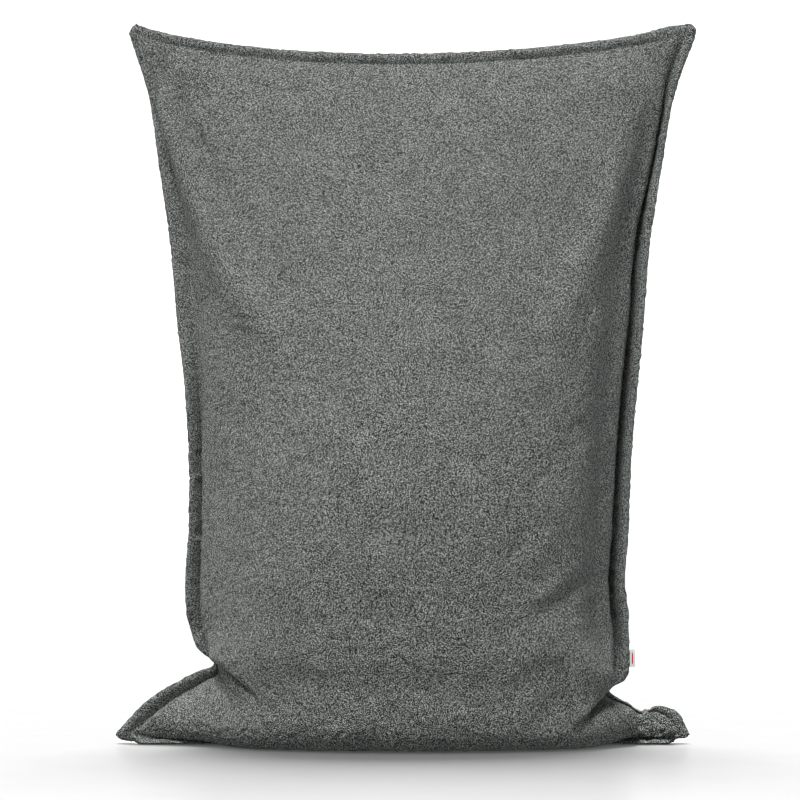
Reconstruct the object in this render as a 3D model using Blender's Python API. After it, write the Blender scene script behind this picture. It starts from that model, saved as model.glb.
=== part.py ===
"""Bean bag chair: a giant floor pillow that stands upright on its bottom seam.

X runs to the right, Y to the back and Z up, in metres. The origin is under the middle of the
object, on the floor. The cover is a front and a back panel, sewn together 30 mm inside their
edges, so that a flat border of two layers runs all round. A zip lies across the back. Inside
are a thin liner with a zip of its own and the bead fill.
"""

import math

import bmesh
import bpy
import numpy as np

# ---- driving dimensions -------------------------------------------------------------------
CLOTH = 0.004            # thickness of the boucle
LAYER_GAP = 0.0002       # half of the space between two layers that are sewn together
FIT = 0.0003             # clearance between pieces that lie on each other
BORDER_UNDER = 0.030     # width of the border, where it is folded flat under the base

SHOULDER = 0.30          # above this height every row of a panel is level
TOP_CORNER = 1.690       # height of the top seam at its corners
TOP_SAG = 0.0725         # how far the top seam sags between its corners
BACK_PLATE = 0.268       # depth of the flat strip that carries the zip of the cover
BACK_FULLER = 1.040      # the back is this much fuller than the front, above and below the zip
# How steeply the flanks rise from the side seams: low down, above the middle and near the top.
FLANK_SLOPE = {"left": (1.85, 2.50, 6.50), "right": (1.70, 2.10, 2.10)}
BACK_STEEPER = 1.6       # how much steeper the flanks of the back are
COLUMNS = 18             # cells across a panel, between the side seams

ZIP_HEIGHT = 0.42
ZIP_HALF = 0.262         # half the length of the zip's coils
ZIP_OPENING = 0.0060     # half the height of the gap in the panel that the zip shows in
ZIP_OPEN_X = 0.272       # the gap keeps this height up to here, then it closes
ZIP_SHUT_X = 0.335
TAPE_WIDTH = 0.016
TAPE_THICK = 0.0008
COIL = 0.0024            # width and height of one coil
COIL_SPLIT = 0.0008      # half the space between the two coils, which the slider's post runs in
STOP_LIP = 0.0010        # how far a stop stands out beside its coil, so that the slider meets it
SLIDER_LENGTH = 0.0135

LINER_INSET = 0.018      # from the outside of the cover to the outside of the liner
LINER_CLOTH = 0.0012
LINER_ZIP_HEIGHT = 0.66
LINER_PLATE = 0.226      # depth of the flat strip that carries the zip of the liner
LINER_ZIP_HALF = 0.24
LINER_OPENING = 0.0052
LINER_OPEN_X = 0.296
LINER_SHUT_X = 0.360
FILL_INSET = 0.033       # from the outside of the cover to the beads
FILL_TOP = 1.46

THREAD = 0.0006          # half the width of a line of stitches
STITCH_SHARE = 0.20      # place of the stitches on the border: 0 is the seam, 1 is the edge
ZIP_STITCH = 0.0085      # from the middle of the zip to the stitches beside it
ZIP_STITCH_HALF = 0.255  # half the length of those stitches

# Depth and height of a panel's middle line, from the bottom seam (0) up to the shoulder (1).
FRONT_RISE = [
    (0.00, 0.004, 0.0100), (0.12, 0.045, 0.0100), (0.28, 0.110, 0.0), (0.42, 0.186, 0.0),
    (0.55, 0.254, 0.013), (0.72, 0.288, 0.080), (0.86, 0.300, 0.186), (1.00, 0.311, 0.300),
]
BACK_RISE = [(0.00, 0.006, 0.0), (0.12, 0.045, 0.0)] + FRONT_RISE[2:]

# Depth of the belly at each height above the shoulder.
DEPTH = [
    (0.30, 0.311), (0.45, 0.324), (0.62, 0.320), (0.90, 0.271), (1.15, 0.205),
    (1.40, 0.128), (1.56, 0.068), (1.65, 0.028), (1.69, 0.004),
]

# Side seams and outer edges of the border, from the tip of an ear (0) up to the shoulder (1):
# share, seam x, seam z, edge x, edge z.
LEFT_EAR = [
    (0.00, -0.650, 0.026, -0.686, 0.024), (0.20, -0.594, 0.070, -0.618, 0.096),
    (0.40, -0.538, 0.112, -0.557, 0.137), (0.58, -0.478, 0.146, -0.493, 0.169),
    (0.72, -0.440, 0.172, -0.454, 0.190), (0.86, -0.468, 0.226, -0.496, 0.228),
    (1.00, -0.481, 0.300, -0.518, 0.300),
]
RIGHT_EAR = [
    (0.00, 0.640, 0.024, 0.670, 0.022), (0.16, 0.620, 0.056, 0.644, 0.072),
    (0.32, 0.588, 0.076, 0.598, 0.089), (0.46, 0.555, 0.0705, 0.560, 0.076),
    (0.60, 0.521, 0.0895, 0.526, 0.0945), (0.73, 0.472, 0.117, 0.480, 0.127),
    (0.86, 0.490, 0.168, 0.526, 0.163), (1.00, 0.470, 0.300, 0.528, 0.295),
]
# The same seams and edges above the shoulder: height, seam x, edge x.
LEFT_SIDE = [
    (0.30, -0.481, -0.518), (0.38, -0.484, -0.521), (0.50, -0.481, -0.514), (0.67, -0.481, -0.514),
    (0.84, -0.489, -0.525), (1.00, -0.506, -0.546), (1.18, -0.523, -0.563), (1.40, -0.558, -0.595),
    (1.55, -0.589, -0.619), (1.69, -0.640, -0.664),
]
RIGHT_SIDE = [
    (0.30, 0.470, 0.528), (0.38, 0.464, 0.520), (0.50, 0.473, 0.529), (0.67, 0.483, 0.536),
    (0.84, 0.497, 0.552), (1.00, 0.515, 0.568), (1.18, 0.531, 0.583), (1.40, 0.574, 0.618),
    (1.55, 0.610, 0.646), (1.69, 0.666, 0.697),
]
TOP_EDGE_LIFT = 0.029    # width of the border along the top


# ---- small tools ----------------------------------------------------------------------------
def clear_scene():
    for thing in list(bpy.data.objects):
        bpy.data.objects.remove(thing, do_unlink=True)


def through(points, at, column=1):
    """Value of a smooth curve through points, whose first number is the key."""
    keys = [p[0] for p in points]
    values = [p[column] for p in points]
    at = min(max(at, keys[0]), keys[-1])
    i = min(max(int(np.searchsorted(keys, at)) - 1, 0), len(keys) - 2)

    def slope(k):
        low, high = max(k - 1, 0), min(k + 1, len(keys) - 1)
        return (values[high] - values[low]) / (keys[high] - keys[low])

    span = keys[i + 1] - keys[i]
    t = (at - keys[i]) / span
    start = (2 * t**3 - 3 * t**2 + 1) * values[i] + (t**3 - 2 * t**2 + t) * span * slope(i)
    end = (3 * t**2 - 2 * t**3) * values[i + 1] + (t**3 - t**2) * span * slope(i + 1)
    return start + end


def ease(t):
    t = min(max(t, 0.0), 1.0)
    return t * t * (3 - 2 * t)


def material(name, colour, roughness, metallic=0.0):
    made = bpy.data.materials.new(name)
    made.use_nodes = True
    shader = made.node_tree.nodes["Principled BSDF"]
    shader.inputs["Base Color"].default_value = (*colour, 1.0)
    shader.inputs["Roughness"].default_value = roughness
    shader.inputs["Metallic"].default_value = metallic
    return made


def add_object(name, bm, surface, smooth=False, origin=(0.0, 0.0, 0.0)):
    """Makes the bmesh, which is in world coordinates, an object with its origin at a point."""
    bmesh.ops.recalc_face_normals(bm, faces=bm.faces[:])
    bmesh.ops.translate(bm, verts=bm.verts[:], vec=[-c for c in origin])
    mesh = bpy.data.meshes.new(name)
    bm.to_mesh(mesh)
    bm.free()
    mesh.materials.append(surface)
    if smooth:
        mesh.shade_smooth()
    thing = bpy.data.objects.new(name, mesh)
    thing.location = origin
    bpy.context.scene.collection.objects.link(thing)
    return thing


def add_quad(bm, a, b, c, d):
    """Two triangles with the diagonal a-c, so that layers on each other are cut alike."""
    for corners in ((a, b, c), (a, c, d)):
        if len(set(corners)) == 3:
            bm.faces.new(corners)


def add_shell(name, outer, inner, surface):
    """A closed solid between two grids of points, joined along their four edges."""
    rows, columns = outer.shape[:2]
    bm = bmesh.new()
    sheets = []
    for grid in (outer, inner):
        sheets.append([[bm.verts.new(grid[r, c]) for c in range(columns)] for r in range(rows)])
    for sheet in sheets:
        for r in range(rows - 1):
            for c in range(columns - 1):
                add_quad(bm, sheet[r][c], sheet[r][c + 1], sheet[r + 1][c + 1], sheet[r + 1][c])
    ring = [(0, c) for c in range(columns)] + [(r, columns - 1) for r in range(1, rows)]
    ring += [(rows - 1, c) for c in range(columns - 2, -1, -1)] + [(r, 0) for r in range(rows - 2, 0, -1)]
    for (r, c), (s, d) in zip(ring, ring[1:] + ring[:1]):
        add_quad(bm, sheets[0][r][c], sheets[0][s][d], sheets[1][s][d], sheets[1][r][c])
    return add_object(name, bm, surface, smooth=True)


def add_blocks(name, boxes, surface, origin=(0.0, 0.0, 0.0), union=False):
    """Boxes given by their lowest and highest corners. With union they are made one body."""
    made = []
    for k, (low, high) in enumerate(boxes):
        bm = bmesh.new()
        cube = bmesh.ops.create_cube(bm, size=1.0)["verts"]
        for vert in cube:
            vert.co = [low[i] + (vert.co[i] + 0.5) * (high[i] - low[i]) for i in range(3)]
        made.append(add_object(name if k == 0 else f"{name}_tool_{k}", bm, surface, origin=origin))
    if union:
        for tool in made[1:]:
            join = made[0].modifiers.new(tool.name, "BOOLEAN")
            join.operation = "UNION"
            join.solver = "EXACT"
            join.object = tool
            tool.hide_render = True
            tool.display_type = "WIRE"
    return made[0]


# ---- the shape of the bag -------------------------------------------------------------------
def side_point(which, s, edge=False):
    """(x, z) of a side seam, or of the border's edge, at share s: 0 tip, 1 shoulder, 2 top."""
    ear, side = (LEFT_EAR, LEFT_SIDE) if which == "left" else (RIGHT_EAR, RIGHT_SIDE)
    if s <= 1:
        return through(ear, s, 3 if edge else 1), through(ear, s, 4 if edge else 2)
    z = SHOULDER + (TOP_CORNER - SHOULDER) * (s - 1)
    return through(side, z, 2 if edge else 1), z


def share_of(height):
    return 1 + (height - SHOULDER) / (TOP_CORNER - SHOULDER)


def fullness(s):
    """Exponent of a level section: low is full and square, high is thin towards the seams."""
    if s <= 1:
        return 2.0 - 1.25 * ease(s / 0.75)
    return 0.75 + 0.15 * ease(s - 1)


def sagging(a):
    """Share of the top seam's sag at a share a across."""
    return math.sin(math.pi * min(a, 1.0) ** 0.95) ** 1.62


def flanks(which, depth, offset, height, share):
    """Cuts the belly off by a plane that rises from a side seam, which ends above the ears."""
    low, high, top = FLANK_SLOPE[which]
    slope = low + (high - low) * ease((height - 0.90) / 0.45)
    slope += (top - high) * ease((height - 1.30) / 0.25)
    sharp = 5 + 7 * ease((height - 0.75) / 0.30)
    plane = slope * max(offset, 0.0) / max(ease((share - 0.8) / 0.2), 0.001) + 1e-6
    depth = max(depth, 1e-6)
    return depth * plane / (depth**sharp + plane**sharp) ** (1 / sharp)


def flattened(depth, height, plate, zip_height):
    """Holds the back flat where a zip is sewn in."""
    reach = abs(height - zip_height)
    hold = 1 - ease((reach - 0.026) / 0.17)
    return depth - max(depth - plate, 0.0) * hold


def body_point(side, a, s, inset=0.0, ears=True, zip_at=(BACK_PLATE, ZIP_HEIGHT)):
    """Outside of the bag at a share a across (0 left, 1 right) and s up; side -1 front, 1 back."""
    rise = FRONT_RISE if side < 0 else BACK_RISE
    if ears:
        (left, left_z), (right, right_z) = side_point("left", s), side_point("right", s)
    else:
        low = min(s, 1.0)
        foot = max(s, 1.0)
        left, left_z = side_point("left", foot)
        right, right_z = side_point("right", foot)
        pull = 0.10 * (1 - ease(low))
        left, right = left + pull + inset, right - pull - inset
        if s < 1:
            left_z = right_z = 0.035 + inset / 2 + (SHOULDER - 0.035 - inset / 2) * ease(low)
    across = math.sin(math.pi * a)
    middle, half = (left + right) / 2, (right - left) / 2
    x = middle - half * math.cos(math.pi * a)
    if s <= 1:
        depth, centre_z = through(rise, s, 1), through(rise, s, 2) + inset * (1 - ease(s))
        depth = max(depth - inset * ease(s / 0.28), 0.0)
        share = ease(min(1.35 * across, 1.0))
        z = (left_z + (right_z - left_z) * a) * (1 - share) + centre_z * share
    else:
        z = left_z
        depth = max(through(DEPTH, z) - inset, 0.0)
        z -= TOP_SAG * sagging(a) * (s - 1) ** 3 + inset * (s - 1)
    depth *= across ** fullness(s)
    slack = 2 * inset
    steeper = BACK_STEEPER if side > 0 else 1.0
    for which, offset in (("left", x - left - slack), ("right", right - x - slack)):
        depth = flanks(which, depth, offset * steeper, left_z, s)
    if side > 0:
        depth = flattened(depth * BACK_FULLER, z, *zip_at)
    return np.array([x, side * (CLOTH + LAYER_GAP + depth), z])


def grid_normals(grid):
    """Unit normals of a grid of points, averaged from its neighbours."""
    down = np.gradient(grid, axis=0)
    across = np.gradient(grid, axis=1)
    normal = np.cross(across, down)
    return normal / np.maximum(np.linalg.norm(normal, axis=2, keepdims=True), 1e-12)


def inward(grid, thickness):
    """The grid moved in by a thickness, towards the middle of the bag."""
    normal = grid_normals(grid)
    centre = np.array([0.0, 0.0, 0.6])
    wrong = np.einsum("rci,rci->rc", normal, centre - grid) < 0
    normal[wrong] *= -1
    return grid + normal * thickness


# ---- cover ----------------------------------------------------------------------------------
LOW_ROWS = [0.0, 0.12, 0.28, 0.42, 0.55, 0.64, 0.72, 0.79, 0.86, 0.93]
HIGH_ROWS = [0.30, 0.36, 0.395, 0.414, 0.426, 0.445, 0.50, 0.58, 0.68, 0.80, 0.93, 1.06, 1.19, 1.32]
HIGH_ROWS += [1.43, 1.52, 1.59, 1.65, 1.69]


def ear_tilt(a, s):
    """Angle by which the border leaves the upright plane: 0 at the sides, 90 degrees below."""
    if s > 0:
        return math.radians(45) * (1 - ease(s / 0.35))
    off_centre = abs(2 * a - 1)
    return math.radians(90 - 45 * ease((off_centre - 0.80) / 0.20))


def seam_point(a, s):
    """The seam between the two layers. It lies in the plane y = 0."""
    if s == 0:
        (left, left_z), (right, right_z) = side_point("left", 0), side_point("right", 0)
        x = (left + right) / 2 - (right - left) / 2 * math.cos(math.pi * a)
        corner = left_z if a < 0.5 else right_z
        low = CLOTH + LAYER_GAP
        return np.array([x, 0.0, low + (corner - low) * ease((abs(2 * a - 1) - 0.80) / 0.20)])
    if s >= 2:
        point = body_point(-1, a, 2)
        return np.array([point[0], 0.0, point[2]])
    x, z = side_point("left" if a < 0.5 else "right", s)
    return np.array([x, 0.0, z])


def edge_point(a, s):
    """The outer edge of the border, between its two layers."""
    seam = seam_point(a, s)
    if s == 0:
        tilt = ear_tilt(a, 0)
        return seam + BORDER_UNDER * np.array([0.0, -math.sin(tilt), -0.75 * math.cos(tilt)])
    if s >= 2:
        spread = 1 + 0.012 * abs(2 * a - 1)
        return np.array([seam[0] * spread, 0.0, seam[2] + TOP_EDGE_LIFT])
    x, z = side_point("left" if a < 0.5 else "right", s, edge=True)
    return np.array([x, 0.0, z])


def corner_point(a, s):
    """The outer corner of the border, a little rounded."""
    if s == 0:
        x, z = side_point("left" if a < 0.5 else "right", 0, edge=True)
        return np.array([x * 0.998, -0.018, 0.010])
    x, z = side_point("left" if a < 0.5 else "right", 2, edge=True)
    return np.array([x * 1.004, 0.0, z + (0.020 if a < 0.5 else 0.031)])


def border_grid(shares):
    """Middle surface and layer directions of the border, for the rows and columns of a cover."""
    rows, columns = len(shares) + 2, COLUMNS + 3
    middle, lift = np.zeros((rows, columns, 3)), np.zeros((rows, columns, 3))
    for r in range(rows):
        s = shares[min(max(r - 1, 0), len(shares) - 1)]
        for c in range(columns):
            a = min(max(c - 1, 0), COLUMNS) / COLUMNS
            row_edge, column_edge = r in (0, rows - 1), c in (0, columns - 1)
            if row_edge and column_edge:
                point = corner_point(a, s)
            elif row_edge:
                point = edge_point(a, s)
            elif column_edge and s in (0, 2):
                x, z = side_point("left" if a < 0.5 else "right", s, edge=True)
                point = np.array([x, 0.0, z])
            elif column_edge:
                point = edge_point(a, s)
            else:
                point = seam_point(a, s)
            middle[r, c] = point
            tilt = ear_tilt(a, s)
            lift[r, c] = (0.0, -math.cos(tilt), math.sin(tilt))
    return middle, lift


def cover_grids(side):
    """Outer and inner grids of one side of the cover, from its bottom edge to its top edge."""
    shares = LOW_ROWS + [share_of(z) for z in HIGH_ROWS]
    shares[-1] = 2.0
    body = np.array([[body_point(side, c / COLUMNS, s) for c in range(COLUMNS + 1)] for s in shares])
    outer = np.pad(body, ((1, 1), (1, 1), (0, 0)), mode="edge")
    inner = np.pad(inward(body, CLOTH), ((1, 1), (1, 1), (0, 0)), mode="edge")
    middle, lift = border_grid(shares)
    rows, columns = outer.shape[:2]
    for r in range(rows):
        for c in range(columns):
            if 1 < r < rows - 2 and 1 < c < columns - 2:
                continue
            face = lift[r, c] * -side
            outer[r, c] = middle[r, c] + face * (CLOTH + LAYER_GAP)
            inner[r, c] = middle[r, c] + face * LAYER_GAP
            if r in (1, rows - 2) or c in (1, columns - 2):
                if 0 < r < rows - 1 and 0 < c < columns - 1:
                    tuck = body[min(max(r - 1, 1), rows - 4), min(max(c - 1, 1), columns - 4)]
                    inner[r, c] += tuck_in(middle[r, c], tuck, r, rows, side)
    return outer, inner, shares


def tuck_in(seam, inside, r, rows, side):
    """How far the inner face starts inside of the seam, so that the wall keeps its thickness."""
    if r == 1:
        return np.array([0.0, 0.004, 0.0])
    step = np.array([inside[0] - seam[0], 0.0, inside[2] - seam[2]])
    if r < rows - 2:
        step[2] = 0.0
    else:
        step[:] = (0.0, 0.0, -1.0)
    return step / max(np.linalg.norm(step), 1e-9) * CLOTH


def zip_gap(x, opening=ZIP_OPENING, open_x=ZIP_OPEN_X, shut_x=ZIP_SHUT_X):
    """Half the height of the gap between the two back panels, at a place along it."""
    shut = ease((abs(x) - open_x) / (shut_x - open_x))
    return opening + (FIT / 2 - opening) * shut


def build_cover(boucle_front, boucle_back):
    outer, inner, shares = cover_grids(-1)
    add_shell("cover_front_panel", outer, inner, boucle_front)
    outer, inner, shares = cover_grids(1)
    split = 1 + len(LOW_ROWS) + HIGH_ROWS.index(0.414)
    for grid in (outer, inner):
        for row, way in ((split, -1), (split + 1, 1)):
            for c in range(grid.shape[1]):
                grid[row, c, 2] = ZIP_HEIGHT + way * zip_gap(grid[row, c, 0])
    add_shell("cover_back_lower_panel", outer[: split + 1], inner[: split + 1], boucle_back)
    add_shell("cover_back_upper_panel", outer[split + 1 :], inner[split + 1 :], boucle_back)


# ---- liner and fill ---------------------------------------------------------------------------
def inner_grid(side, heights, low_rows, inset, columns, top, zip_at):
    """Outside of the liner or of the fill. Both sides close on the plane y = 0."""
    rows = []
    shares = list(low_rows) + [share_of(z) for z in heights]
    for s in shares:
        row = []
        for c in range(columns + 1):
            point = body_point(side, c / columns, s, inset, ears=False, zip_at=zip_at)
            shut = ease((top - point[2]) / 0.10)
            point[1] = side * (LAYER_GAP + LINER_CLOTH + (abs(point[1]) - CLOTH) * shut)
            row.append(point)
        rows.append(row)
    return np.array(rows)


def build_liner(cloth):
    low_rows = [0.0, 0.14, 0.30, 0.45, 0.58, 0.72, 0.86]
    heights = [0.30, 0.394, 0.42, 0.446, 0.54, 0.6336, 0.657, 0.663, 0.6864, 0.80]
    heights += [0.95, 1.12, 1.29, 1.43, 1.54, 1.60, 1.65]
    columns = 14
    for side in (-1, 1):
        zip_at = (LINER_PLATE, LINER_ZIP_HEIGHT) if side > 0 else (1.0, 0.0)
        outer = inner_grid(side, heights, low_rows, LINER_INSET, columns, 1.655, zip_at)
        if side > 0:
            for row in outer:
                for point in row:
                    point[1] = flattened(point[1], point[2], BACK_PLATE - 0.014, ZIP_HEIGHT)
        inner = inward(outer, LINER_CLOTH)
        for grid, y in ((outer, LINER_CLOTH + LAYER_GAP), (inner, LAYER_GAP)):
            grid[[0, -1], :, 1] = side * y
            grid[:, [0, -1], 1] = side * y
        inner[0, :, 2] = outer[0, :, 2] + LINER_CLOTH
        inner[-1, :, 2] = outer[-1, :, 2] - LINER_CLOTH
        inner[:, 0, 0] = outer[:, 0, 0] + 2 * LINER_CLOTH
        inner[:, -1, 0] = outer[:, -1, 0] - 2 * LINER_CLOTH
        if side < 0:
            add_shell("liner_front_panel", outer, inner, cloth)
            continue
        split = len(low_rows) + heights.index(0.657)
        for grid in (outer, inner):
            for row, way in ((split, -1), (split + 1, 1)):
                for c in range(grid.shape[1]):
                    gap = zip_gap(grid[row, c, 0], LINER_OPENING, LINER_OPEN_X, LINER_SHUT_X)
                    grid[row, c, 2] = LINER_ZIP_HEIGHT + way * gap
        add_shell("liner_back_lower_panel", outer[: split + 1], inner[: split + 1], cloth)
        add_shell("liner_back_upper_panel", outer[split + 1 :], inner[split + 1 :], cloth)


def build_fill(beads):
    low_rows = [0.0, 0.16, 0.32, 0.48, 0.64, 0.82]
    heights = [0.30, 0.42, 0.54, 0.66, 0.78, 0.92, 1.08, 1.24, 1.36, 1.44, 1.48]
    columns = 12
    sides = []
    for side in (-1, 1):
        grid = inner_grid(side, heights, low_rows, FILL_INSET, columns, FILL_TOP + 0.03, (1.0, 0.0))
        if side > 0:
            for row in grid:
                for point in row:
                    point[1] = flattened(point[1], point[2], BACK_PLATE - 0.030, ZIP_HEIGHT)
                    point[1] = flattened(point[1], point[2], LINER_PLATE - 0.014, LINER_ZIP_HEIGHT)
        sides.append(grid)
    front, back = sides
    for grid in sides:
        grid[[0, -1], :, 1] = 0.0
        grid[:, [0, -1], 1] = 0.0
    bm = bmesh.new()
    rows, count = front.shape[:2]
    verts = {}

    def vert(side, r, c):
        rim = r in (0, rows - 1) or c in (0, count - 1)
        key = (0 if rim else side, r, c)
        if key not in verts:
            verts[key] = bm.verts.new((front if rim or side < 0 else back)[r, c])
        return verts[key]

    for side in (-1, 1):
        for r in range(rows - 1):
            for c in range(count - 1):
                cell = [vert(side, r, c), vert(side, r, c + 1)]
                cell += [vert(side, r + 1, c + 1), vert(side, r + 1, c)]
                if (r == 0) == (c == count - 2):
                    cell = cell[1:] + cell[:1]
                add_quad(bm, *cell)
    add_object("bead_fill", bm, beads, smooth=True)


# ---- zips -------------------------------------------------------------------------------------
def build_zip(prefix, height, face, half, sizes, surfaces, pull=True):
    """A straight zip on the back. It is shut with its slider at +x, and opens towards -x.

    face is the y of the outside of the tapes. sizes scales the cross-section.
    """
    tape_cloth, coil_plastic, metal = surfaces
    coil, split, width = COIL * sizes, COIL_SPLIT, TAPE_WIDTH * (0.5 + sizes / 2)
    plate, clear = 0.0012 * sizes, 0.0004
    for name, way in (("lower", -1), ("upper", 1)):
        inner_z, outer_z = sorted((height + way * split, height + way * width))
        box = ((-half - 0.004, face - TAPE_THICK, inner_z), (half + 0.004, face, outer_z))
        add_blocks(f"{prefix}_tape_{name}", [box], tape_cloth)
        inner_z, outer_z = sorted((height + way * split, height + way * (split + coil)))
        box = ((-half + 0.006, face + FIT, inner_z), (half - 0.006, face + FIT + coil, outer_z))
        add_blocks(f"{prefix}_coil_{name}", [box], coil_plastic)
        inner_z, outer_z = sorted((height + way * split, height + way * (split + coil + STOP_LIP)))
        box = ((half - 0.005, face + FIT, inner_z), (half - 0.0025, face + FIT + coil, outer_z))
        add_blocks(f"{prefix}_top_stop_{name}", [box], metal)
    reach = split + coil
    low = (-half + 0.002, face + FIT, height - reach - STOP_LIP)
    high = (-half + 0.0055, face + FIT + coil, height + reach + STOP_LIP)
    add_blocks(f"{prefix}_bottom_stop", [(low, high)], metal)

    # The slider: two plates on a thin post that runs between the coils, and rims beside them.
    length = SLIDER_LENGTH * sizes
    start = half - 0.005 - clear - length / 2
    wide = reach + clear + 0.0010
    top = face + FIT + coil + clear
    under = face - TAPE_THICK - clear
    x0, x1 = start - length / 2, start + length / 2
    boxes = [
        ((x0, top, height - wide), (x1, top + plate, height + wide)),
        ((x0, under - plate, height - wide), (x1, under, height + wide)),
        (
            (x1 - 0.0032, under - plate / 2, height - 0.00045),
            (x1 - 0.0002, top + plate / 2, height + 0.00045),
        ),
    ]
    for way in (-1, 1):
        low_z, high_z = sorted((height + way * (reach + clear), height + way * wide))
        boxes.append(((x0, face + clear, low_z), (x1, top + plate / 2, high_z)))
    pivot = (start, top + plate + 0.0012, height)
    if pull:
        # The bridge that holds the pull: two posts and a bar over them.
        low_z, high_z = height - 0.0009, height + 0.0009
        for x in (start - 0.0034, start + 0.0022):
            boxes.append(((x, top + plate / 2, low_z), (x + 0.0012, top + plate + 0.0026, high_z)))
        bar_top = top + plate + 0.0036
        boxes.append(((start - 0.0034, bar_top - 0.0012, low_z), (start + 0.0034, bar_top, high_z)))
    slider = add_blocks(f"{prefix}_slider", boxes, metal, union=True)
    if pull:
        build_pull(f"{prefix}_pull", pivot, metal)
    return slider


def build_pull(name, pivot, metal):
    """The flat tab of the slider. Its eye turns round the pivot, on an upright axis."""
    x, y, z = pivot
    bar, eye, thick = 0.0006, 0.0034, 0.0007
    boxes = [
        ((x - bar, y - bar, z - eye), (x + bar, y + bar, z + eye)),
        ((x + 0.0074, y - thick, z - eye - 0.0004), (x + 0.0300, y + thick, z + eye + 0.0004)),
    ]
    for way in (-1, 1):
        low_z, high_z = sorted((z + way * 0.0019, z + way * eye))
        boxes.append(((x - bar, y - bar, low_z), (x + 0.0080, y + bar, high_z)))
    add_blocks(name, boxes, metal, origin=pivot, union=True)


# ---- thread and labels --------------------------------------------------------------------------
def add_thread(name, route, surface):
    """A square-section thread along a route in a plane of constant y."""
    bm = bmesh.new()
    rings = []
    for i, point in enumerate(route):
        ahead, behind = route[min(i + 1, len(route) - 1)], route[max(i - 1, 0)]
        along = (ahead - behind) / np.linalg.norm(ahead - behind)
        out = np.cross(along, (0.0, 1.0, 0.0))
        up = np.array([0.0, 1.0, 0.0])
        corners = [point + THREAD * (u * out + v * up) for u, v in ((-1, -1), (1, -1), (1, 1), (-1, 1))]
        rings.append([bm.verts.new(c) for c in corners])
    for low, high in zip(rings, rings[1:]):
        for k in range(4):
            add_quad(bm, low[k], low[(k + 1) % 4], high[(k + 1) % 4], high[k])
    bm.faces.new(rings[0])
    bm.faces.new(rings[-1])
    add_object(name, bm, surface)


def build_threads(thread):
    """The line of stitches through the border, beside the seam, down both sides and along the top."""
    inset = STITCH_SHARE
    rises = [share_of(z) for z in HIGH_ROWS[1:-1]]
    route = []
    for s in rises:
        route.append(seam_point(0, s) * (1 - inset) + edge_point(0, s) * inset)
    for c in range(COLUMNS + 1):
        a = c / COLUMNS
        route.append(seam_point(a, 2) * (1 - inset) + edge_point(a, 2) * inset)
    for s in reversed(rises):
        route.append(seam_point(1, s) * (1 - inset) + edge_point(1, s) * inset)
    for name, side in (("border_stitch_front", -1), ("border_stitch_back", 1)):
        lifted = [p + np.array([0.0, side * (CLOTH + LAYER_GAP + FIT + THREAD), 0.0]) for p in route]
        add_thread(name, lifted, thread)
    y = BACK_PLATE + CLOTH + LAYER_GAP + FIT + THREAD
    for name, way in (("zip_stitch_upper", 1), ("zip_stitch_lower", -1)):
        z = ZIP_HEIGHT + way * ZIP_STITCH
        ends = [np.array([x, y, z]) for x in (-ZIP_STITCH_HALF, ZIP_STITCH_HALF)]
        add_thread(name, ends, thread)


def build_labels(ribbon):
    edge = side_point("right", 0.93, edge=True)[0]
    box = ((edge + 0.0010, -0.0006, 0.180), (edge + 0.0115, 0.0006, 0.221))
    add_blocks("side_label", [box], ribbon)
    inside = BACK_PLATE + LAYER_GAP
    box = ((-0.16, inside - 0.0064, 0.442), (-0.125, inside - 0.0056, 0.472))
    add_blocks("care_label", [box], ribbon)


def build():
    clear_scene()
    boucle_front = material("boucle_front", (0.115, 0.130, 0.125), 0.95)
    boucle_back = material("boucle_back", (0.115, 0.130, 0.125), 0.95)
    thread = material("thread", (0.060, 0.068, 0.066), 0.7)
    ribbon = material("ribbon", (0.78, 0.77, 0.74), 0.6)
    tape = material("zip_tape", (0.075, 0.085, 0.082), 0.8)
    coil = material("zip_coil", (0.050, 0.056, 0.055), 0.4)
    metal = material("zip_metal", (0.20, 0.20, 0.20), 0.35, 1.0)
    liner = material("liner", (0.72, 0.72, 0.70), 0.8)
    beads = material("beads", (0.90, 0.90, 0.90), 0.7)
    build_cover(boucle_front, boucle_back)
    build_liner(liner)
    build_fill(beads)
    face = BACK_PLATE + LAYER_GAP - FIT
    build_zip("zip", ZIP_HEIGHT, face, ZIP_HALF, 1.0, (tape, coil, metal))
    liner_face = LINER_PLATE + 2 * LAYER_GAP - FIT
    surfaces = (tape, coil, metal)
    build_zip("liner_zip", LINER_ZIP_HEIGHT, liner_face, LINER_ZIP_HALF, 0.7, surfaces, pull=False)
    build_threads(thread)
    build_labels(ribbon)


build()
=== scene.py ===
"""Looks of the bean bag chair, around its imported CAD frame.

The cover is boucle: two panels sewn together inside their edges, so that a border of two layers
runs all round. Every point of the cloth comes from the same outline, depth and zip values as the
CAD solids, with folds, creases and a deeper right seam added. X runs to the right, Y to the back
and Z up, in metres.
"""

import math

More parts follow.
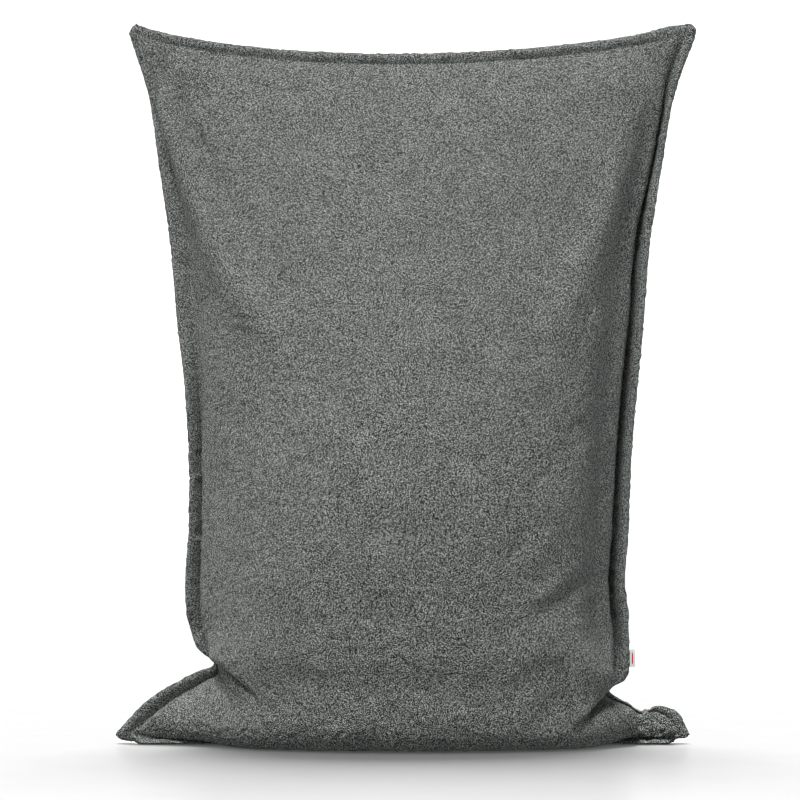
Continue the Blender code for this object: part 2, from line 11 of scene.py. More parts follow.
import bmesh
import bpy
import numpy as np
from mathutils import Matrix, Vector


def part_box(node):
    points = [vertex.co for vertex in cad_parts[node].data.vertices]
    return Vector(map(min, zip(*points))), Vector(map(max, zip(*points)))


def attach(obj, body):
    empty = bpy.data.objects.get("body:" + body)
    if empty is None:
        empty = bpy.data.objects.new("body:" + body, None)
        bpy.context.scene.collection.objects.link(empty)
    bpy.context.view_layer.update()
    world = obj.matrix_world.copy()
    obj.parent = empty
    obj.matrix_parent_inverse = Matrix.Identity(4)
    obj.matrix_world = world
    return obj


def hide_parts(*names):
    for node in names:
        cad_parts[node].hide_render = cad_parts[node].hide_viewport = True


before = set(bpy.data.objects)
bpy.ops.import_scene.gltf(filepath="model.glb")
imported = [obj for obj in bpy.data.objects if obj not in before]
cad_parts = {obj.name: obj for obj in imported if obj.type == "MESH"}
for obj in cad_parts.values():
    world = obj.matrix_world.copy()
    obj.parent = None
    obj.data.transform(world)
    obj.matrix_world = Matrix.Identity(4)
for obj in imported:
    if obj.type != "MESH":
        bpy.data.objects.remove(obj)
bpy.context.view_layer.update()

# ---- driving dimensions, as in the CAD model ------------------------------------------------
CLOTH = 0.004            # thickness of the boucle
LAYER_GAP = 0.0002       # half of the space between two layers that are sewn together
BORDER_UNDER = 0.030     # width of the border, where it is folded flat under the base
SHOULDER = 0.30          # above this height every row of a panel is level
TOP_CORNER = 1.690       # height of the top seam at its corners
TOP_SAG = 0.0725         # how far the top seam sags between its corners
TOP_EDGE_LIFT = 0.029    # width of the border along the top
BACK_PLATE = 0.268       # depth of the flat strip that carries the zip of the cover
BACK_FULLER = 1.040      # the back is this much fuller than the front, above and below the zip
# How steeply the flanks rise from the side seams: low down, above the middle and near the top.
FLANK_SLOPE = {"left": (1.85, 2.50, 6.50), "right": (1.70, 2.10, 2.10)}
BACK_STEEPER = 1.6       # how much steeper the flanks of the back are
ZIP_HEIGHT = 0.42
ZIP_OPENING = 0.0060     # half the height of the gap in the panel that the zip shows in
ZIP_OPEN_X = 0.272       # the gap keeps this height up to here, then it closes
ZIP_SHUT_X = 0.335
LINER_INSET = 0.018      # from the outside of the cover to the outside of the liner
LINER_PLATE = 0.226      # depth of the flat strip that carries the zip of the liner
LINER_ZIP_HEIGHT = 0.66
LINER_OPENING = 0.0052
LINER_OPEN_X = 0.296
LINER_SHUT_X = 0.360
STITCH_SHARE = 0.20      # place of the stitches on the border: 0 is the seam, 1 is the edge

# ---- and those that only the cloth here has -------------------------------------------------
LEFT_LEAN = 0.028        # how far the left border leans forward
EAR_LEAN = 0.011         # and how far it does so along its ear
SEAM_BACK = {"left": 0.0, "right": 0.062}      # how far a side seam lies behind the middle
FLANK_STEP = {"left": 0.035, "right": 0.098}   # depth of the step that each flank begins with
SEAM_BULGE = {"left": 0.008, "right": 0.024}   # how far the front bulges out over its side seams
LINER_TOP = 1.655
LINER_CELL = 0.010
FILL_INSET = 0.030       # 3 mm less than in the CAD, whose large flat faces need more room
FILL_TOP = 1.49
FILL_CELL = 0.012
PLATE_STEPS = (0.014, 0.030)   # from a zip's plate in to the first and the second layer behind it

# Depth and height of a panel's middle line, from the bottom seam (0) up to the shoulder (1).
FRONT_RISE = [
    (0.00, 0.004, 0.0100), (0.12, 0.045, 0.0100), (0.28, 0.110, 0.0), (0.42, 0.186, 0.0),
    (0.55, 0.254, 0.013), (0.72, 0.288, 0.080), (0.86, 0.300, 0.186), (1.00, 0.311, 0.300),
]
BACK_RISE = [(0.00, 0.006, 0.0), (0.12, 0.045, 0.0)] + FRONT_RISE[2:]
# Depth of the belly at each height above the shoulder.
DEPTH = [
    (0.30, 0.311), (0.45, 0.324), (0.62, 0.320), (0.90, 0.271), (1.15, 0.205),
    (1.40, 0.128), (1.56, 0.068), (1.65, 0.028), (1.69, 0.004),
]
# Side seams and border edges from the tip of an ear (0) up to the shoulder (1): share, seam x,
# seam z, edge x, edge z.
LEFT_EAR = [
    (0.00, -0.650, 0.026, -0.686, 0.024), (0.20, -0.594, 0.070, -0.618, 0.096),
    (0.40, -0.538, 0.112, -0.557, 0.137), (0.58, -0.478, 0.146, -0.493, 0.169),
    (0.72, -0.440, 0.172, -0.454, 0.190), (0.86, -0.468, 0.226, -0.496, 0.228),
    (1.00, -0.481, 0.300, -0.518, 0.300),
]
RIGHT_EAR = [
    (0.00, 0.640, 0.024, 0.670, 0.022), (0.16, 0.620, 0.056, 0.644, 0.072),
    (0.32, 0.588, 0.076, 0.598, 0.089), (0.46, 0.555, 0.0705, 0.560, 0.076),
    (0.60, 0.521, 0.0895, 0.526, 0.0945), (0.73, 0.472, 0.117, 0.480, 0.127),
    (0.86, 0.490, 0.168, 0.526, 0.163), (1.00, 0.470, 0.300, 0.528, 0.295),
]
# The same seams and edges above the shoulder: height, seam x, edge x.
LEFT_SIDE = [
    (0.30, -0.481, -0.518), (0.38, -0.484, -0.521), (0.50, -0.481, -0.514), (0.67, -0.481, -0.514),
    (0.84, -0.489, -0.525), (1.00, -0.506, -0.546), (1.18, -0.523, -0.563), (1.40, -0.558, -0.595),
    (1.55, -0.589, -0.619), (1.69, -0.640, -0.664),
]
RIGHT_SIDE = [
    (0.30, 0.470, 0.528), (0.38, 0.464, 0.520), (0.50, 0.473, 0.529), (0.67, 0.483, 0.536),
    (0.84, 0.497, 0.552), (1.00, 0.515, 0.568), (1.18, 0.531, 0.583), (1.40, 0.574, 0.618),
    (1.55, 0.610, 0.646), (1.69, 0.666, 0.697),
]

# ---- cloth detail ---------------------------------------------------------------------------
CELL = 0.0052            # size of a cell of the cloth's mesh
BORDER_CELLS = 6
LOOP_HEIGHT = 0.0013     # how far the loops of the boucle stand out, on average
# Half the thickness of the border, from the seam (0) to its edge (1).
BORDER_SKIN = [
    (0.00, 0.0010), (0.14, 0.0016), (0.38, 0.0056), (0.66, 0.0066), (0.88, 0.0046), (1.00, 0.0004),
]
RELAXED_SKIN = 0.0050    # how much thicker the border is at a seam that hardly shows


# ---- small tools ----------------------------------------------------------------------------
def ease(t):
    t = np.clip(t, 0.0, 1.0)
    return t * t * (3 - 2 * t)


def through(points, at, column=1):
    """Values of a smooth curve through points, whose first number is the key."""
    keys = np.array([p[0] for p in points], float)
    values = np.array([p[column] for p in points], float)
    at = np.clip(np.asarray(at, float), keys[0], keys[-1])
    i = np.clip(np.searchsorted(keys, at) - 1, 0, len(keys) - 2)
    low = np.maximum(np.arange(len(keys)) - 1, 0)
    high = np.minimum(np.arange(len(keys)) + 1, len(keys) - 1)
    slope = (values[high] - values[low]) / (keys[high] - keys[low])
    span = keys[i + 1] - keys[i]
    t = (at - keys[i]) / span
    start = (2 * t**3 - 3 * t**2 + 1) * values[i] + (t**3 - 2 * t**2 + t) * span * slope[i]
    end = (3 * t**2 - 2 * t**3) * values[i + 1] + (t**3 - t**2) * span * slope[i + 1]
    return start + end


def lengths(points):
    """How far along a line each of its points lies."""
    return np.concatenate([[0], np.cumsum(np.linalg.norm(np.diff(points, axis=0), axis=1))])


def evenly(function, end, step):
    """Parameters from 0 to end at which function's points lie a step apart."""
    fine = np.linspace(0, end, 2000)
    length = lengths(function(fine))
    count = max(int(round(length[-1] / step)), 2)
    return np.interp(np.linspace(0, length[-1], count + 1), length, fine)


def sagging(a):
    """How much of the top's sag each share across gets: the lowest place is left of the middle."""
    return np.sin(np.pi * a**0.95) ** 1.62


def share_of(height):
    return 1 + (height - SHOULDER) / (TOP_CORNER - SHOULDER)


# ---- the shape of the bag -------------------------------------------------------------------
def side_line(which, s, edge=False):
    """x and z of a side seam, or of the border's edge, at shares s: 0 tip, 1 shoulder, 2 top."""
    ear, side = (LEFT_EAR, LEFT_SIDE) if which == "left" else (RIGHT_EAR, RIGHT_SIDE)
    z_high = SHOULDER + (TOP_CORNER - SHOULDER) * (s - 1)
    x_high = through(side, z_high, 2 if edge else 1)
    x_low = through(ear, s, 3 if edge else 1)
    z_low = through(ear, s, 4 if edge else 2)
    return np.where(s <= 1, x_low, x_high), np.where(s <= 1, z_low, z_high)


def fullness(s):
    """Exponent of a level section: low is full and square, high is thin towards the seams."""
    return np.where(s <= 1, 2.0 - 1.25 * ease(s / 0.75), 0.75 + 0.15 * ease(s - 1))


def flanks(which, depth, offset, height, share, step):
    """Cuts the belly off by a plane that rises from a side seam. The plane ends above the ears."""
    low, high, top = FLANK_SLOPE[which]
    slope = low + (high - low) * ease((height - 0.90) / 0.45)
    slope = slope + (top - high) * ease((height - 1.30) / 0.25)
    sharp = 5 + 7 * ease((height - 0.75) / 0.30)
    plane = slope * np.maximum(offset, 0.0) / np.maximum(ease((share - 0.8) / 0.2), 0.001)
    plane = plane + step * ease(offset / 0.020) + 1e-6
    depth = np.maximum(depth, 1e-6)
    return depth * plane / (depth**sharp + plane**sharp) ** (1 / sharp)


def flattened(depth, height, plate, zip_height):
    """Holds the back flat where a zip is sewn in."""
    hold = 1 - ease((np.abs(height - zip_height) - 0.026) / 0.17)
    return depth - np.maximum(depth - plate, 0.0) * hold


def body(side, a, s, inset=0.0, zip_at=(BACK_PLATE, ZIP_HEIGHT)):
    """Outside of the bag for shares a across (0 left, 1 right) and s up; side -1 front, 1 back.

    With an inset it is a bag inside the cover, which has no ears.
    """
    rise = FRONT_RISE if side < 0 else BACK_RISE
    s, a = np.asarray(s, float)[:, None], np.asarray(a, float)[None, :]
    if not inset:
        (left, left_z), (right, right_z) = side_line("left", s), side_line("right", s)
    else:
        low, foot = np.minimum(s, 1.0), np.maximum(s, 1.0)
        (left, left_z), (right, right_z) = side_line("left", foot), side_line("right", foot)
        pull = 0.10 * (1 - ease(low))
        left, right = left + pull + inset, right - pull - inset
        base = 0.035 + inset / 2
        left_z = np.where(s < 1, base + (SHOULDER - base) * ease(low), left_z)
        right_z = np.where(s < 1, left_z, right_z)
    across = np.sin(np.pi * a)
    x = (left + right) / 2 - (right - left) / 2 * np.cos(np.pi * a)
    depth_low = through(rise, s, 1) - inset * ease(s / 0.28)
    centre_z = through(rise, s, 2) + inset * (1 - ease(s))
    share = ease(np.minimum(1.35 * across, 1.0))
    z_low = (left_z + (right_z - left_z) * a) * (1 - share) + centre_z * share
    depth_high = through(DEPTH, left_z) - inset
    top = np.maximum(s - 1, 0.0)
    z_high = left_z - TOP_SAG * sagging(a) * top**3 - inset * top
    depth = np.maximum(np.where(s <= 1, depth_low, depth_high), 0.0)
    z = np.where(s <= 1, z_low, z_high)
    depth = depth * across ** fullness(s)
    slack = 2 * inset
    steeper = BACK_STEEPER if side > 0 else 1.0
    for which, offset in (("left", x - left - slack), ("right", right - x - slack)):
        step = 0.0
        if not inset:
            step = FLANK_STEP[which] * (1 - side_relaxed(which, s)) * ease((s - 0.8) / 0.2)
        depth = flanks(which, depth, offset * steeper, left_z, s, step)
    if side > 0:
        depth = flattened(depth * BACK_FULLER, z, *zip_at)
    x = x + 0 * z
    rise = 0.0 if inset else seam_rise(a, s)
    back = 0 * x
    if not inset:
        back = seam_back("left", s) * (1 - ease((x - left) / 0.08))
        back = back + seam_back("right", s) * (1 - ease((right - x) / 0.08))
    return np.stack([x, side * (rise + depth) + back, z], axis=-1)


def seam_back(which, s):
    """How far a side seam lies behind the middle plane. Its ends are in that plane."""
    return SEAM_BACK[which] * ease((s - 0.84) / 0.14) * ease((2 - s) / 0.25)


def side_relaxed(which, s):
    """How little the side seam pinches the cloth: 0 is a deep groove, 1 hardly shows."""
    if which == "right":
        return 0 * s
    return ease((s - share_of(0.78)) / 0.20)


def end_relaxed(bottom, a):
    """The same for the seam along the top, which fades towards its corners, or the bottom."""
    if bottom:
        return 0 * a
    return 1 - ease((a - 0.03) / 0.20) * ease((0.99 - a) / 0.20)


def seam_rise(a, s):
    """How far the body's cloth lies from the middle plane where it reaches its seams."""
    left = side_relaxed("left", s) * (1 - ease(a / 0.05))
    right = side_relaxed("right", s) * (1 - ease((1 - a) / 0.05))
    top = end_relaxed(False, a) * (1 - ease((2 - s) / 0.04))
    return BORDER_SKIN[0][1] + RELAXED_SKIN * np.maximum(np.maximum(left, right), top)


def side_border(which, s):
    """Seam, edge and tilt of the border down one side, for shares s."""
    x, z = side_line(which, s)
    edge_x, edge_z = side_line(which, s, edge=True)
    seam = np.stack([x, seam_back(which, s) + 0 * x, z], axis=-1)
    forward = 0 * s
    if which == "left":
        forward = LEFT_LEAN * ease((s - 0.93) / 0.12) * ease((2 - s) / 0.25)
        forward = forward * (1 - side_relaxed(which, s))
        forward = forward + EAR_LEAN * ease(s / 0.15) * (1 - ease((s - 0.60) / 0.15))
    edge = np.stack([edge_x, -forward, edge_z], axis=-1)
    return seam, edge, 0 * s


def end_border(bottom, a):
    """Seam, edge and tilt of the border along the bottom or the top, for shares a."""
    s = 0.0 if bottom else 2.0
    (left, left_z), (right, right_z) = side_line("left", s), side_line("right", s)
    x = (left + right) / 2 - (right - left) / 2 * np.cos(np.pi * a)
    if not bottom:
        z = TOP_CORNER - TOP_SAG * sagging(a)
        seam = np.stack([x, 0 * x, z], axis=-1)
        spread = 1 + 0.012 * np.abs(2 * a - 1)
        crest = 0.006 * np.exp(-(((a - 0.88) / 0.05) ** 2))
        return seam, np.stack([x * spread, 0 * x, z + TOP_EDGE_LIFT + crest], axis=-1), 0 * a
    low = CLOTH + LAYER_GAP
    near_ear = ease((np.abs(2 * a - 1) - 0.80) / 0.20)
    corner = np.where(a < 0.5, left_z, right_z)
    seam = np.stack([x, 0 * x, low + (corner - low) * near_ear], axis=-1)
    tilt = np.radians(90 * (1 - near_ear))
    # Under the ears it hangs down and leans back, at the right less far down.
    forward = np.sin(tilt) * (1 - 0.75 * ease(near_ear / 0.35)) - 0.30 * near_ear
    down = (0.72 - 0.27 * ease((a - 0.90) / 0.10)) * np.cos(tilt) * near_ear
    reach = np.stack([0 * x, -forward, -down], axis=-1)
    return seam, seam + BORDER_UNDER * reach, tilt


def border_block(seam, edge, tilt, relaxed, side, shares, turned=False):
    """Points of one strip of the border: along the seam, then out over shares of its width.

    A turned strip keeps its seam's depth at first, then comes forward to the depth of its edge.
    """
    lift = np.stack([0 * tilt, -np.cos(tilt), np.sin(tilt)], axis=-1)[:, None, :] * -side
    e = shares[None, :, None]
    skin = through(BORDER_SKIN, shares)[None, :, None]
    skin = skin + RELAXED_SKIN * relaxed[:, None, None] * (1 - e) ** 2
    flat = seam[:, None, :] * (1 - e) + edge[:, None, :] * e
    if turned:
        turn = ease((shares - 0.36) / 0.40)[None, :]
        flat[:, :, 1] = seam[:, None, 1] * (1 - turn) + edge[:, None, 1] * turn
    return flat + lift * skin


def corner_block(seam, side_edge, end_edge, tip, tilt, relaxed, side, shares):
    """Points of a corner of the border: rows go out over the end, columns out over the side."""
    r, c = shares[:, None, None], shares[None, :, None]
    flat = seam * (1 - r) * (1 - c) + side_edge * (1 - r) * c + end_edge * r * (1 - c) + tip * r * c
    rounding = 0.24 * (r * c) ** 2
    flat = flat * (1 - rounding) + seam * rounding
    lift = np.array([0.0, -math.cos(tilt), math.sin(tilt)]) * -side
    outmost = np.maximum(shares[:, None], shares[None, :])
    skin = through(BORDER_SKIN, outmost) + RELAXED_SKIN * relaxed * (1 - outmost) ** 2
    return flat + lift * skin[:, :, None]


def whole_side(side, a, s):
    """The cloth of one side with its border, as one grid from the bottom edge to the top edge."""
    out = np.linspace(0, 1, BORDER_CELLS + 1)[1:]
    left, right = (
        border_block(*side_border(which, s), side_relaxed(which, s), side, out, which == "right")
        for which in ("left", "right")
    )
    middle = np.concatenate([left[:, ::-1], body(side, a, s), right], axis=1)
    rows = []
    for bottom in (True, False):
        strip = border_block(*end_border(bottom, a), end_relaxed(bottom, a), side, out)
        corners = []
        for which, k in (("left", 0), ("right", -1)):
            share = np.array([0.0 if bottom else 2.0])
            seam, side_edge, _ = (v[0] for v in side_border(which, share))
            _, end_edge, tilt = (v[k] for v in end_border(bottom, np.array([0.0, 1.0])))
            x, z = side_edge[0], side_edge[2]
            if bottom:
                tip = np.array([x * 0.998, 0.005, 0.007 if which == "left" else 0.012])
            else:
                tip = np.array([x * 1.004, 0.0, z + (0.020 if which == "left" else 0.031)])
            relaxed = 0.0 if bottom else 1.0
            corners.append(
                corner_block(seam, side_edge, end_edge, tip, tilt, relaxed, side, out)
            )
        row = np.concatenate([corners[0][:, ::-1], strip.transpose(1, 0, 2), corners[1]], axis=1)
        rows.append(row[::-1] if bottom else row)
    return np.concatenate([rows[0], middle, rows[1]], axis=0)


def normals(grid, side):
    across, up = np.gradient(grid, axis=1), np.gradient(grid, axis=0)
    normal = np.cross(across, up) * -side
    return normal / np.maximum(np.linalg.norm(normal, axis=2, keepdims=True), 1e-12)


def smoothed(grid, times, keep):
    """The grid with each point moved towards its neighbours, less where keep is 1."""
    move = (1 - keep)[:, :, None]
    for _ in range(times):
        padded = np.pad(grid, ((1, 1), (1, 1), (0, 0)), mode="edge")
        mean = (padded[2:, 1:-1] + padded[:-2, 1:-1] + padded[1:-1, 2:] + padded[1:-1, :-2]) / 4
        grid = grid + (mean - grid) * move * 0.5
    return grid


# ---- folds and creases ----------------------------------------------------------------------
def along_line(points, x, z):
    """Signed distance from a line of (x, z) points, and the share along it, for every x and z."""
    best = np.full(x.shape, 1e9)
    signed, share = np.zeros(x.shape), np.zeros(x.shape)
    steps = [math.dist(p, q) for p, q in zip(points, points[1:])]
    total, done = sum(steps), 0.0
    for (ax, az), (bx, bz), step in zip(points, points[1:], steps):
        ux, uz = (bx - ax) / step, (bz - az) / step
        t = np.clip((x - ax) * ux + (z - az) * uz, 0, step)
        dx, dz = x - ax - t * ux, z - az - t * uz
        distance = np.hypot(dx, dz)
        nearer = distance < best
        best = np.where(nearer, distance, best)
        signed = np.where(nearer, np.sign(ux * dz - uz * dx) * distance, signed)
        share = np.where(nearer, (done + t) / total, share)
        done += step
    return signed, share


def fold(points, x, z, height, width, taper=(0.15, 0.3), wider=1.0):
    """A ridge (or a valley, with a negative height) along a line, fading out at its ends."""
    distance, share = along_line(points, x, z)
    spread = width * (1 + (wider - 1) * share)
    fade = ease(share / taper[0]) * ease((1 - share) / taper[1])
    return height * fade * np.exp(-((distance / spread) ** 2))


def overlap(points, x, z, height, reach, taper=(0.05, 0.5)):
    """Cloth that laps over its neighbour: a sharp step at the line, on the line's left."""
    distance, share = along_line(points, x, z)
    fade = ease((1 - share) / taper[1]) * ease(share / taper[0] + 0.2)
    step = ease((distance + 0.003) / 0.006) * np.exp(-np.maximum(distance, 0) / reach)
    tuck = np.exp(-((distance / 0.008) ** 2)) * (distance < 0)
    return height * fade * (step - 0.45 * tuck)


def soft_lumps(x, z, seed, low=0.05, high=0.17, count=48):
    """Gentle unevenness of the filling, of about unit size, from seeded waves."""
    rng = np.random.default_rng(seed)
    total = np.zeros(x.shape)
    for _ in range(count):
        length = rng.uniform(low, high)
        angle = rng.uniform(0, np.pi)
        phase = rng.uniform(0, 2 * np.pi)
        wave = (x * math.cos(angle) + z * math.sin(angle)) * 2 * np.pi / length
        total += np.sin(wave + phase)
    return total / math.sqrt(count / 2)


def folds(x, z, rows):
    """The sum of folds, given as rows of points, height, width, taper and how much wider."""
    out = np.zeros(x.shape)
    for points, *sizes in rows:
        out += fold(points, x, z, *sizes)
    return out


def front_folds(x, z):
    """How far the front stands out of its plain form, in metres."""
    out = folds(x, z, [
        # The valley that falls from the upper left corner, and the crest along its left.
        ([(-0.612, 1.665), (-0.574, 1.594), (-0.524, 1.477), (-0.469, 1.351), (-0.428, 1.273),
          (-0.371, 1.171)], -0.024, 0.012, (0.1, 0.4), 2.8),
        ([(-0.605, 1.600), (-0.552, 1.470), (-0.496, 1.318), (-0.432, 1.152), (-0.372, 1.034),
          (-0.308, 0.945), (-0.216, 0.850)], 0.040, 0.026, (0.12, 0.30), 2.0),
        # The drape from the upper right corner.
        ([(0.618, 1.640), (0.596, 1.572), (0.556, 1.441), (0.514, 1.338), (0.462, 1.228),
          (0.400, 1.100), (0.356, 0.960), (0.310, 0.800)], 0.022, 0.026, (0.15, 0.40), 2.0),
        # Soft folds of the lower right side.
        ([(0.470, 0.790), (0.433, 0.747), (0.348, 0.665), (0.301, 0.625), (0.240, 0.550)],
         -0.006, 0.026, (0.3, 0.4), 1.4),
        ([(0.470, 0.452), (0.405, 0.427), (0.345, 0.380), (0.271, 0.329), (0.235, 0.310)],
         0.007, 0.018, (0.3, 0.35), 1.3),
        ([(0.480, 0.392), (0.393, 0.371), (0.371, 0.355), (0.314, 0.317), (0.270, 0.290)],
         -0.006, 0.015, (0.2, 0.4), 1.3),
        ([(0.480, 0.375), (0.420, 0.360), (0.375, 0.343)], 0.004, 0.008, (0.3, 0.4)),
        # Low on the belly the cloth draws in, and stands out again towards the floor.
        ([(-0.470, 0.210), (-0.360, 0.155), (-0.200, 0.130), (0.200, 0.130), (0.360, 0.155),
          (0.460, 0.200)], -0.010, 0.060, (0.08, 0.08)),
        # A soft fold across the belly.
        ([(-0.240, 0.560), (-0.080, 0.500), (0.100, 0.470)], -0.006, 0.060, (0.4, 0.4)),
        # The creases that run in from the notches above the ears.
        ([(-0.448, 0.192), (-0.370, 0.139), (-0.330, 0.108)], -0.016, 0.007, (0.02, 0.6)),
        ([(0.500, 0.145), (0.470, 0.118), (0.430, 0.086), (0.395, 0.060)],
         -0.034, 0.012, (0.05, 0.5)),
    ])
    # And the cloth that laps over them.
    out += overlap([(-0.462, 0.212), (-0.443, 0.193), (-0.370, 0.142), (-0.338, 0.115),
                    (-0.300, 0.085)], x, z, 0.010, 0.050)
    out += overlap([(0.375, 0.052), (0.395, 0.068), (0.433, 0.096), (0.476, 0.130), (0.500, 0.150)],
                   x, z, 0.024, 0.060, (0.4, 0.05))
    return out + 0.0012 * soft_lumps(x, z, 3)


def back_folds(x, z):
    out = np.zeros(x.shape)
    for way in (-1, 1):
        # Over x times way, so that the same points serve both sides.
        out += folds(way * x, z, [
            ([(0.620, 1.620), (0.520, 1.420), (0.400, 1.200), (0.280, 1.020)],
             0.012, 0.045, (0.3, 0.6), 1.5),
            ([(0.560, 1.420), (0.470, 1.220), (0.380, 1.040)], -0.012, 0.035, (0.3, 0.6), 1.5),
            ([(0.470, 0.150), (0.400, 0.110), (0.310, 0.070)], -0.012, 0.012, (0.1, 0.5), 1.5),
            ([(0.490, 0.760), (0.400, 0.690), (0.300, 0.640)], -0.008, 0.030, (0.3, 0.5), 1.5),
        ])
    return out + 0.0012 * soft_lumps(x, z, 5)


def ear_folds(x, z, right):
    """How far the crumpled corner at the right, or the plain one at the left, stands out."""
    low = 1 - ease((z - 0.10) / 0.08)
    if not right:
        puff = np.exp(-(((x + 0.545) / 0.070) ** 2) - ((z - 0.060) / 0.050) ** 2)
        return 0.026 * puff * low
    lobe = np.exp(-(((x - 0.620) / 0.042) ** 2) - ((z - 0.042) / 0.042) ** 2)
    hole = np.exp(-(((x - 0.601) ** 2 + (z - 0.031) ** 2) / 0.006**2))
    out = 0.030 * lobe - 0.018 * hole + folds(x, z, [
        ([(0.522, 0.085), (0.528, 0.060), (0.538, 0.024)], 0.014, 0.011, (0.1, 0.2)),
        ([(0.543, 0.080), (0.547, 0.060), (0.552, 0.034)], -0.018, 0.009, (0.1, 0.2)),
        ([(0.566, 0.085), (0.565, 0.055), (0.562, 0.022)], 0.018, 0.010, (0.1, 0.1)),
        ([(0.577, 0.078), (0.578, 0.060), (0.580, 0.045)], -0.014, 0.008, (0.1, 0.2)),
        ([(0.540, 0.008), (0.560, 0.010), (0.590, 0.014)], -0.014, 0.006, (0.1, 0.3)),
    ])
    return out * low


# ---- cloth meshes ---------------------------------------------------------------------------
def add_mesh(name, verts, faces, material):
    mesh = bpy.data.meshes.new(name)
    mesh.from_pydata([tuple(v) for v in verts], [], [tuple(int(i) for i in f) for f in faces])
    mesh.materials.append(material)
    mesh.shade_smooth()
    mesh.update()
    thing = bpy.data.objects.new(name, mesh)
    bpy.context.scene.collection.objects.link(thing)
    return thing


def grid_faces(rows, columns, turned=False):
    index = np.arange(rows * columns).reshape(rows, columns)
    quads = np.stack([index[:-1, :-1], index[:-1, 1:], index[1:, 1:], index[1:, :-1]], axis=-1)
    quads = quads.reshape(-1, 4)
    return quads[:, ::-1] if turned else quads


def add_cloth(name, grid, material, side):
    rows, columns = grid.shape[:2]
    return add_mesh(name, grid.reshape(-1, 3), grid_faces(rows, columns, side > 0), material)


def loops_noise(shape, seed):
    """Unevenness of the boucle at each point of a grid: small clumps of loops."""
    noise = np.random.default_rng(seed).normal(size=shape)
    padded = np.pad(noise, 1, mode="edge")
    near = (padded[2:, 1:-1] + padded[:-2, 1:-1] + padded[1:-1, 2:] + padded[1:-1, :-2]) / 4
    return np.clip(0.75 * noise + 0.9 * near, -2.2, 2.2)


def fuzzed_edge(grid, seed):
    """Moves the outer edge in and out by a little, the same way on both sides of the bag."""
    table = np.random.default_rng(seed).normal(size=(4, 900)) * 0.0011
    places = np.linspace(-0.8, 1.8, 900)
    for k, (edge, inside, axis) in enumerate((
        (np.s_[:, 0], np.s_[:, 2], 2), (np.s_[:, -1], np.s_[:, -3], 2),
        (np.s_[0], np.s_[2], 0), (np.s_[-1], np.s_[-3], 0),
    )):
        out = grid[edge] - grid[inside]
        out = out / np.maximum(np.linalg.norm(out, axis=1, keepdims=True), 1e-9)
        grid[edge] += out * np.interp(grid[edge][:, axis], places, table[k])[:, None]
    return grid


def from_edges(shape, border):
    """How many cells each column lies from the sides, and each row from the ends."""
    rows, columns = np.arange(shape[0]), np.arange(shape[1])
    from_end = np.minimum(rows, shape[0] - 1 - rows) - border
    return np.minimum(columns, shape[1] - 1 - columns) - border, from_end


def folded(grid, side, border=0, reach=0.042):
    """The grid moved out by the folds, which die out near the seams, the base and the zip.

    Only the cover's grid has a border, so many cells wide, and only the cover has ears.
    """
    x, z = grid[:, :, 0], grid[:, :, 2]
    out = front_folds(x, z) if side < 0 else back_folds(x, z)
    if border:
        out += ear_folds(x, z, right=True) + ear_folds(x, z, right=False)
    if side > 0:
        out *= ease((np.abs(z - ZIP_HEIGHT) - 0.03) / 0.08)
    cell = float(np.linalg.norm(grid[grid.shape[0] // 2, 1] - grid[grid.shape[0] // 2, 0]))
    cells = max(reach / max(cell, 0.004), 2.0)
    from_side, from_end = from_edges(grid.shape[:2], border)
    inside = ease(from_side / cells)[None, :] * ease(from_end / cells)[:, None]
    facing = np.abs(normals(grid, side)[:, :, 1])
    out *= inside * ease((z - 0.002) / 0.02) * (0.35 + 0.65 * facing)
    # A valley never goes deeper than a part of the depth there.
    out = np.maximum(out, -0.30 * np.abs(grid[:, :, 1]))
    if side < 0 and border:
        out += seam_bulge(grid, border)
    return grid + normals(grid, side) * out[:, :, None]


def seam_bulge(grid, border):
    """The front bulges over its side seams, most of all over the right one."""
    columns = np.arange(grid.shape[1])
    level = grid[:, grid.shape[1] // 2, 2]
    out = np.zeros(grid.shape[:2])
    # Full at this distance from the seam, fading from the next one, and gone at this height.
    for which, full, fading, top in (("left", 0.016, 0.030, 0.95), ("right", 0.040, 0.085, 1.62)):
        away = ((columns if which == "left" else columns[::-1]) - border) * CELL
        near = ease(away / full) * (1 - ease((away - fading) / 0.06))
        up = ease((level - 0.16) / 0.12) * ease((top - level) / 0.30)
        out += SEAM_BULGE[which] * up[:, None] * near[None, :]
    return out


def cloth_side(side, a, s, seed):
    """One side of the cover with its folds, its puckered border and its loops."""
    grid = whole_side(side, a, s)
    from_side, from_end = from_edges(grid.shape[:2], BORDER_CELLS)
    from_rim = np.minimum(from_side[None, :], from_end[:, None])
    border = np.where(from_rim <= 0, 1.0, 0.0)
    grid = smoothed(grid, 10, border)
    grid = folded(grid, side, BORDER_CELLS, reach=0.016)
    grid = smoothed(grid, 2, border)
    x, z = grid[:, :, 0], grid[:, :, 2]
    height = LOOP_HEIGHT * loops_noise(grid.shape[:2], seed)
    height *= ease(z / 0.006) * 0.85 + 0.15
    if side > 0:
        near_zip = 1 - ease((np.abs(z - ZIP_HEIGHT) - 0.010) / 0.016)
        height *= 1 - 0.85 * near_zip * (1 - ease((np.abs(x) - ZIP_SHUT_X) / 0.02))
    height[from_rim == -BORDER_CELLS] = 0
    height[from_rim == 0] *= 0.3
    grid = grid + normals(grid, side) * height[:, :, None]
    grid = fuzzed_edge(grid, 40)
    grid[:, :, 2] = np.maximum(grid[:, :, 2], 0.0002)
    return grid


def columns_and_rows(step, top, inset=0.0):
    """Shares across, and up to the top's height, at which a bag's cells are about square."""
    a = evenly(lambda t: body(-1, t, [1.25], inset)[0], 1, step)
    s = evenly(lambda t: body(-1, [0.5], t, inset)[:, 0], share_of(top), step)
    return a, s


